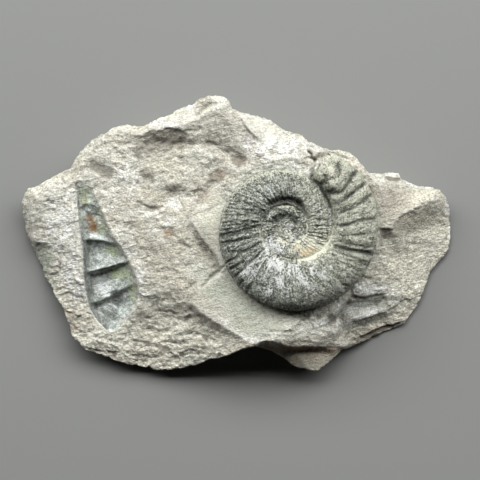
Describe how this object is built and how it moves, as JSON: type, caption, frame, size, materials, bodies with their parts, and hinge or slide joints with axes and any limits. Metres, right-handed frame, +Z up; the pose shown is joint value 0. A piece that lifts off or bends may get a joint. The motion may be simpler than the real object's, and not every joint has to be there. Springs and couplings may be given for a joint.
{
  "type": "fossil ammonite in matrix",
  "caption": "Hand-sized piece of pale broken marl with a coiled, ribbed ammonite standing proud of it and the hollow mould of a tall snail shell beside it. Lies flat on its own underside.",
  "frame": {"origin": "on the ground, under the centre of the stone's outline box", "axes": "+X runs to the right along the stone's length as the picture shows it, +Y to its far edge (the picture's top), +Z up out of the face that holds the fossils"},
  "size_m": [0.1334, 0.0854, 0.0246],
  "materials": {
    "marl": "matt, powdery, freshly broken",
    "fossil_shell": "matt, worn, with pale mineral in its grooves"
  },
  "bodies": {
    "root": {"rock": "marl", "ammonite": "fossil_shell"}
  },
  "joints": []
}
